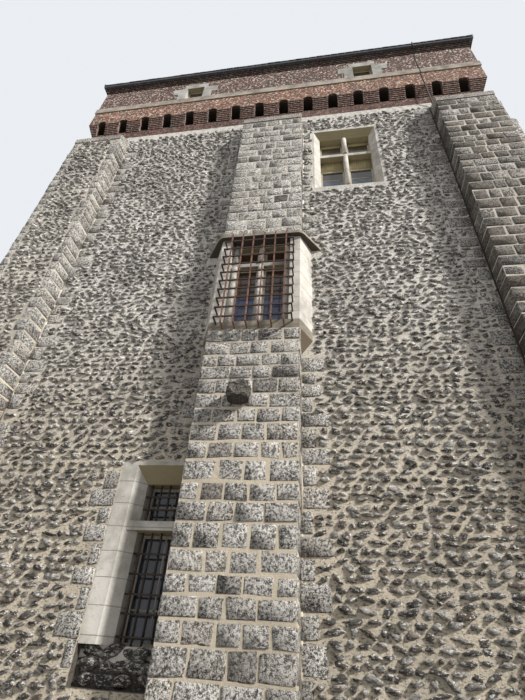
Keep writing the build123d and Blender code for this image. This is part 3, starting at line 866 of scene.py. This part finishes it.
corner_stones, fill_stones, bonds, wall_flints, buttress_flints = {}, {}, {}, {}, {}
for face in faces:
    corner_stones[face], fill_stones[face], bonds[face] = [], [], []
    taken = [cross_surround, lower_surround]
    if face == "front":
        bay_space = (sill[0].x, sill[1].x, sill[0].z, hood[1].z)
        taken += [lower_break, bay_space, (hood[0].x, hood[1].x, hood_skirt, hood[1].z)]
    whole = [(0.0, cap_foot)]
    round_bay = [(0.0, sill[1].z - 0.2), (hood[1].z, cap_foot)]
    stretches = {
        (-outer_edge, -inner_edge): whole,
        (centre_left, centre_right): round_bay if face == "front" else whole,
        (inner_edge, outer_edge): whole,
    }
    for (left, right), heights in stretches.items():
        # The left buttress of the front has flint in place of blocks between its corner stones
        filled = face != "front" or left > -outer_edge
        for bottom, top in heights:
            corners, fills, rubble = raise_buttress(left, right, bottom, top, filled)
            corner_stones[face] += corners
            fill_stones[face] += fills
            if rubble:
                buttress_flints[face] = rubble
        for edge, side in ((left, -1), (right, 1)):
            if abs(edge) < outer_edge - 0.1:
                bonds[face] += bonding_stones(edge, side, 0.0, flint_top, taken)
    beside_window = (lower_surround[2] - 0.1, lower_surround[3] + 0.2)
    bonds[face] += bonding_stones(lower_surround[0], -1, *beside_window, [])
    # Corner stones of the keep, from its corner to the nearest buttress
    corner_width = half - outer_edge - 0.012
    for number, (level, height) in enumerate(courses(0.0, flint_top, *corner_courses)):
        back = -corner_width if number % 2 else 0.05 - corner_width
        corner_stones[face].append(
            block(-half - proud_block, corner_width - half, level, height, back, proud_block, "")
        )
    taken += [(left - 0.01, right + 0.01, 0.0, flint_top) for left, right in stretches]
    taken += [(-half, -outer_edge, 0.0, flint_top), (outer_edge, half, 0.0, flint_top)]
    taken += [(low[0] - 0.01, high[0] + 0.01, low[1], high[1]) for low, high in bonds[face]]
    wall_flints[face] = flint_bed(0.03 - half, half - 0.03, 0.0, flint_top + 0.12, taken, 0.0)

# The nodules of the front have one side more, as they are seen from near by
for face in faces:
    lay_flints("flint_" + face, 7 if face == "front" else 6, {face: wall_flints[face]})
lay_flints("buttress_flint", 7, buttress_flints)
lay_blocks("buttress_corner_stones", block_shape(True), corner_stones)
lay_blocks("buttress_stones", block_shape(False), fill_stones)
lay_blocks("bonding_stones", block_shape(False), bonds, tone=0.55)


# Roof of slates, with a lead roll on each hip

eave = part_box("roof_front")
eave_half, ridge_top = -eave[0].y, eave[1].z
pitch = math.radians(40)
eave_top = ridge_top - eave_half * math.tan(pitch)
slope_length = eave_half / math.cos(pitch)
slate_width, slate_gap, slate_show, eave_overhang = 0.25, 0.006, 0.21, 0.02
slate_length = slate_show * 1.15
slate_thickness, slate_tilt, slate_lift = 0.012, 0.016, 0.022
narrowest_slate = 0.004
hip_roll_radius, hip_roll_raise = 0.055, 0.03
plain_box = box_shape()


def slate_places():
    """Left end of each slate of a slope and its level: every other row begins half a slate out."""
    starts, levels = [], []
    for row in range(int(slope_length / slate_show)):
        level = row * slate_show
        reach = eave_half - level * math.cos(pitch)
        first = -reach - (row % 2) * slate_width / 2
        count = int((reach - first) / slate_width) + 1
        starts += [first + number * slate_width for number in range(count)]
        levels += [level] * count
    return np.array(starts)[:, None], np.array(levels)[:, None]


starts, levels = slate_places()
slate_x, slate_y, slate_z = plain_box.points.T + 0.5
clouds, tints = [], []
for face in faces:
    across = starts + slate_x * (slate_width - slate_gap)
    ragged = chance.uniform(-0.008, 0.008, levels.shape)
    upward = levels - eave_overhang + slate_y * slate_length + ragged
    lift = slate_lift - slate_y * slate_tilt + (slate_z - 1) * slate_thickness
    lift = lift + chance.uniform(0.0, 0.004, levels.shape)
    hip = np.maximum(eave_half - upward * math.cos(pitch), narrowest_slate)
    across = np.clip(across, -hip, hip)
    height = eave_top + upward * math.sin(pitch) + lift * math.cos(pitch)
    out = eave_half - half - upward * math.cos(pitch) + lift * math.sin(pitch)
    clouds.append(stand(side_by_side(across, height, out), face))
    tone = chance.beta(2.0, 2.0, levels.shape)
    tints.append(side_by_side(tone, tone, np.zeros(len(slate_x))))
cast("roof_slates", plain_box, np.concatenate(clouds), np.concatenate(tints), slate)

rolls = bmesh.new()
eave_corner, peak = Vector((eave_half, eave_half, eave_top)), Vector((0.0, 0.0, ridge_top))
for quarter in range(4):
    foot = Matrix.Rotation(quarter * math.pi / 2, 3, "Z") @ eave_corner
    along = peak - foot
    lie = along.to_track_quat("Z", "Y").to_matrix().to_4x4()
    place = Matrix.Translation((foot + peak) / 2 + Vector((0.0, 0.0, hip_roll_raise))) @ lie
    add_rod(rolls, hip_roll_radius, 10, along.length, place)
keep_modelled("hip_rolls", rolls, lead)


# Bars, boards and straps, each a plain box


def set_bars(name, bars_of_face, material):
    """Casts square bars, given by their low and high corners."""
    clouds = []
    for face, bars in bars_of_face.items():
        low, high = np.array(bars).transpose(1, 0, 2)
        points = (low + high)[:, None] / 2 + plain_box.points * (high - low)[:, None]
        clouds.append(stand(points, face))
    points = np.concatenate(clouds)
    tints = np.full((*points.shape[:2], 3), 0.5)
    cast(name, plain_box, points, tints, material)


def upright(x, bottom, top, out, size):
    """Corners of a square bar that stands."""
    return (x - size / 2, bottom, out - size / 2), (x + size / 2, top, out + size / 2)


def rail(level, left, right, out, size):
    """Corners of a square bar that lies."""
    return (left, level - size / 2, out - size / 2), (right, level + size / 2, out + size / 2)


# The lower windows: bars let into the jamb, the sill and the transom, unevenly spaced as in the photo
bar, bar_out, rail_out, bar_let_in = 0.024, -0.20, -0.18, 0.02
light_left, light_right, light_foot, light_top = lower_light
bar_places = (-1.44, -1.29, -1.15, -0.98, -0.83)
bar_levels = (1.78, 2.04, 2.27, 2.52, 2.78, 3.40, 3.59)
lower_bars = [upright(x, light_foot, light_top, bar_out, bar) for x in bar_places]
for level in bar_levels:
    lower_bars.append(rail(level, light_left - bar_let_in, light_right + bar_let_in, rail_out, bar))
set_bars("lower_window_bars", {face: lower_bars for face in faces}, dark_iron)

# The cross windows: boards that close the heads of the lights
board_back, board_front, board_gap = -0.345, -0.315, 0.002
low_board_foot, high_board_foot = 12.40, 13.62
heads = []
for left, right in cross_pairs:
    for board_foot, (_, row_top) in ((low_board_foot, low_row), (high_board_foot, high_row)):
        low_corner = (left + board_gap, board_foot, board_back)
        heads.append((low_corner, (right - board_gap, row_top - board_gap, board_front)))
set_bars("light_heads", {face: heads for face in faces}, head_wood)

# The casements: a head rail and one glazing bar in each low light of the cross windows, and thin bars
# in the lower windows
casement_edge, head_rail, head_rail_out, glazing_bar, thin_bar = 0.03, 0.055, -0.335, 0.028, 0.022
head_rail_level, glazing_bar_level = low_board_foot - 0.025, low_row[0] + 0.52
thin_bar_levels, thin_bar_out, thin_bar_gap = (2.10, 2.55, 3.49), -0.395, 0.05
panes = []
for left, right in cross_pairs:
    ends = (left + casement_edge, right - casement_edge)
    panes.append(rail(head_rail_level, *ends, head_rail_out, head_rail))
    panes.append(rail(glazing_bar_level, *ends, board_back, glazing_bar))
for level in thin_bar_levels:
    ends = (light_left + casement_edge, light_right - casement_edge)
    panes.append(rail(level, *ends, thin_bar_out, thin_bar))
ends = (light_foot + thin_bar_gap, light_top - thin_bar_gap)
panes.append(upright((light_left + light_right) / 2, *ends, thin_bar_out, thin_bar))
set_bars("glazing_bars", {face: panes for face in faces}, casement_wood)

# Strap that runs down beside the right buttress, and over the brick to the eave
low_strap = (inner_edge - 0.038, inner_edge - 0.006)
high_strap = (inner_edge + 0.09, inner_edge + 0.12)
strap = [
    ((left, bottom, back), (right, top, front))
    for (left, right), bottom, top, back, front in (
        (low_strap, 0.0, flint_top, 0.030, 0.038),
        (high_strap, flint_top, springing, 0.0, 0.034),
        (high_strap, springing, string_low, 0.024, 0.034),
        (high_strap, string_low, string_high, 0.052, 0.062),
        (high_strap, string_high, cornice_top, 0.024, 0.034),
        ((low_strap[0], high_strap[1]), flint_top - 0.03, flint_top, 0.024, 0.038),
    )
]
# Its hook at the eave, and the clips that hold it to the wall
hook_edge, hook_foot, hook_top = 0.005, cornice_top - 0.03, cornice_top + 0.25
hook_low = (high_strap[0] - hook_edge, hook_foot, 0.125)
strap.append((hook_low, (high_strap[1] + hook_edge, hook_top, 0.205)))
clip_edge, clip_height, first_clip, clip_rise = 0.014, 0.02, 0.8, 1.1
for level in np.arange(first_clip, flint_top, clip_rise):
    clip_low = (low_strap[0] - clip_edge, level, 0.0)
    strap.append((clip_low, (low_strap[1] + clip_edge, level + clip_height, 0.042)))
set_bars("conductor_strap", {"front": strap}, dark_iron)

# Pointing in the inner corners of the buttresses, left out of the front where the bay stands
pointing_width = 0.045
pointing = []
for edge, side in ((-inner_edge, 1), (centre_left, -1), (centre_right, 1), (inner_edge, -1)):
    near, far = sorted((edge, edge + side * pointing_width))
    for level, height in courses(0.0, cap_foot, 0.9, 1.6):
        pointing.append(((near, level, 0.0), (far, level + height, chance.uniform(0.004, 0.009))))
hidden_faces = [face for face in faces if face != "front"]
set_bars("corner_pointing", {face: pointing for face in hidden_faces}, corner_mortar)
front_pointing = [
    (low, high)
    for low, high in pointing
    if abs(low[0]) > hood[1].x or high[1] <= sill[0].z or low[1] >= hood[1].z
]
set_bars("front_pointing", {"front": front_pointing}, corner_mortar)

# Dark rubble where the wall is broken under the lower window of the front
rubble_growth = 1.12
rubble = []
for level, height in courses(lower_break[2] + 0.01, lower_surround[2] + 0.18, 0.11, 0.17):
    for start, width in lengths_along(lower_break[0] + 0.01, lower_break[1] - 0.01, 0.12, 0.30):
        middle = (start + width / 2, level + height / 2)
        plane = chance.uniform(-0.13, -0.07)
        rubble.append((*middle, width * rubble_growth, height * rubble_growth, plane))
lay_flints("broken_wall_rubble", 7, {"front": rubble}, palest=0.35)


# Dressed and worn stone of the front

# Round shafts on the bay's mullion and jambs, and on the mullion of the cross window
shaft_radius, jamb_inset, shaft_inset, cross_shaft_inset = 0.058, 0.08, 0.012, 0.170
frame_low, frame_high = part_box("bay_window_frame")
transom_foot, transom_top = 8.24, 8.36
bay_mullion = (frame_low.x + frame_high.x) / 2
shaft_places = [
    (x, frame_low.y + shaft_inset, bottom, top)
    for x in (frame_low.x + jamb_inset, bay_mullion, frame_high.x - jamb_inset)
    for bottom, top in ((frame_low.z, transom_foot), (transom_top, frame_high.z))
]
shaft_places += [
    (cross_mullion, cross_shaft_inset - half, bottom, top)
    for bottom, top in ((low_row[0], low_row[1] - 0.005), (high_row[0] + 0.005, high_row[1]))
]
shafts = bmesh.new()
for x, y, bottom, top in shaft_places:
    middle = Matrix.Translation((x, y, (bottom + top) / 2))
    add_rod(shafts, shaft_radius, 16, top - bottom, middle)
for side in shafts.faces:
    side.smooth = abs(side.normal.z) < 0.5
keep_modelled("bay_shafts", shafts, limestone)

# Worn stone round the stub on the centre buttress
stub_growth = 0.035
stub_low, stub_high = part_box("corbel_stub")
stub = bmesh.new()
bmesh.ops.create_cube(stub, size=1.0)
bmesh.ops.bevel(
    stub,
    geom=stub.edges[:],
    offset=0.16,
    offset_type="OFFSET",
    affect="EDGES",
    segments=3,
    profile=0.5,
    material=-1,
)
bmesh.ops.subdivide_edges(stub, edges=stub.edges[:], cuts=2, use_grid_fill=True)
stub_size = stub_high - stub_low + Vector((stub_growth,) * 3)
for corner in stub.verts:
    rough = noise.noise_vector(corner.co * 3.2) * 0.040 + noise.noise_vector(corner.co * 9.0) * 0.018
    corner.co = (stub_low + stub_high) / 2 + corner.co * stub_size + rough
keep_modelled("stub_stone", stub, ashlar)


# Stage, lamps and camera

# The floor is paler to the camera than to the walls, on which it would throw too much light
ground = bmesh.new()
bmesh.ops.create_grid(ground, x_segments=1, y_segments=1, size=150.0)
floor_mesh = bpy.data.meshes.new("studio_floor")
ground.to_mesh(floor_mesh)
ground.free()
studio_floor = bpy.data.objects.new("studio_floor", floor_mesh)
bpy.context.scene.collection.objects.link(studio_floor)
pale = Finish("studio_floor", 0.9, specular=0.1)
rays = pale.node("ShaderNodeLightPath")
seen = pale.maths("MAXIMUM", rays.out("Is Camera Ray"), rays.out("Is Glossy Ray"))
seen = pale.maths("MAXIMUM", seen, rays.out("Is Transmission Ray"))
floor_mesh.materials.append(pale.paint(pale.blend(seen, (0.34, 0.33, 0.32), (0.56, 0.55, 0.54))))

# Soft light from all round. The camera, mirrors and glass see a brighter backdrop
world = bpy.data.worlds.new("studio")
world.use_nodes = True
bpy.context.scene.world = world
sky_nodes, sky_links = world.node_tree.nodes, world.node_tree.links
soft, backdrop = sky_nodes["Background"], sky_nodes.new("ShaderNodeBackground")
soft.inputs["Color"].default_value = (0.94, 0.96, 1.0, 1.0)
soft.inputs["Strength"].default_value = 0.46
backdrop.inputs["Color"].default_value = (0.90, 0.93, 0.97, 1.0)
backdrop.inputs["Strength"].default_value = 0.92
sky_rays = sky_nodes.new("ShaderNodeLightPath")
sky_seen = sky_rays.outputs["Is Camera Ray"]
for kind in ("Is Glossy Ray", "Is Transmission Ray"):
    either = sky_nodes.new("ShaderNodeMath")
    either.operation = "MAXIMUM"
    sky_links.new(sky_seen, either.inputs[0])
    sky_links.new(sky_rays.outputs[kind], either.inputs[1])
    sky_seen = either.outputs[0]
sky = sky_nodes.new("ShaderNodeMixShader")
for socket, wire in zip(sky.inputs, (sky_seen, soft.outputs[0], backdrop.outputs[0])):
    sky_links.new(wire, socket)
sky_links.new(sky.outputs[0], sky_nodes["World Output"].inputs["Surface"])


def lamp(name, energy, spread, direction, colour=(1.0, 1.0, 1.0)):
    """Sun lamp that shines in a direction, spread over some degrees."""
    data = bpy.data.lights.new(name, "SUN")
    data.energy = energy
    data.angle = math.radians(spread)
    data.color = colour
    made = bpy.data.objects.new(name, data)
    made.rotation_euler = Vector(direction).to_track_quat("-Z", "Y").to_euler()
    bpy.context.scene.collection.objects.link(made)


# Sun from the front right, and a weak broad one from the back left
lamp("key", 5.1, 6, (-0.80, 0.40, -0.60), (1.0, 0.97, 0.92))
lamp("fill", 1.3, 30, (0.7, -0.5, -0.45))

# The camera stands near the foot of the front, a little right of the middle, and looks steeply up
eye = Vector((1.35, -12.62, 1.6))
view_yaw = math.radians(-10.54)
view_pitch = math.radians(36.38)
view_roll = math.radians(4.16)
focal_pixels = 425.4
picture_height = 700

camera_data = bpy.data.cameras.new("view")
camera_data.sensor_width = 36.0
camera_data.lens = camera_data.sensor_width * focal_pixels / picture_height
camera_data.clip_end = 500.0
camera = bpy.data.objects.new("view", camera_data)
level_reach = math.cos(view_pitch)
forward = Vector(
    (math.sin(view_yaw) * level_reach, math.cos(view_yaw) * level_reach, math.sin(view_pitch))
)
level_right = Vector((math.cos(view_yaw), -math.sin(view_yaw), 0.0))
level_up = level_right.cross(forward)
right = level_right * math.cos(view_roll) + level_up * math.sin(view_roll)
up = level_up * math.cos(view_roll) - level_right * math.sin(view_roll)
turn = Matrix((right, up, -forward)).transposed().to_4x4()
camera.matrix_world = Matrix.Translation(eye) @ turn
bpy.context.scene.collection.objects.link(camera)
bpy.context.scene.camera = camera

bpy.context.scene.view_settings.view_transform = "Standard"
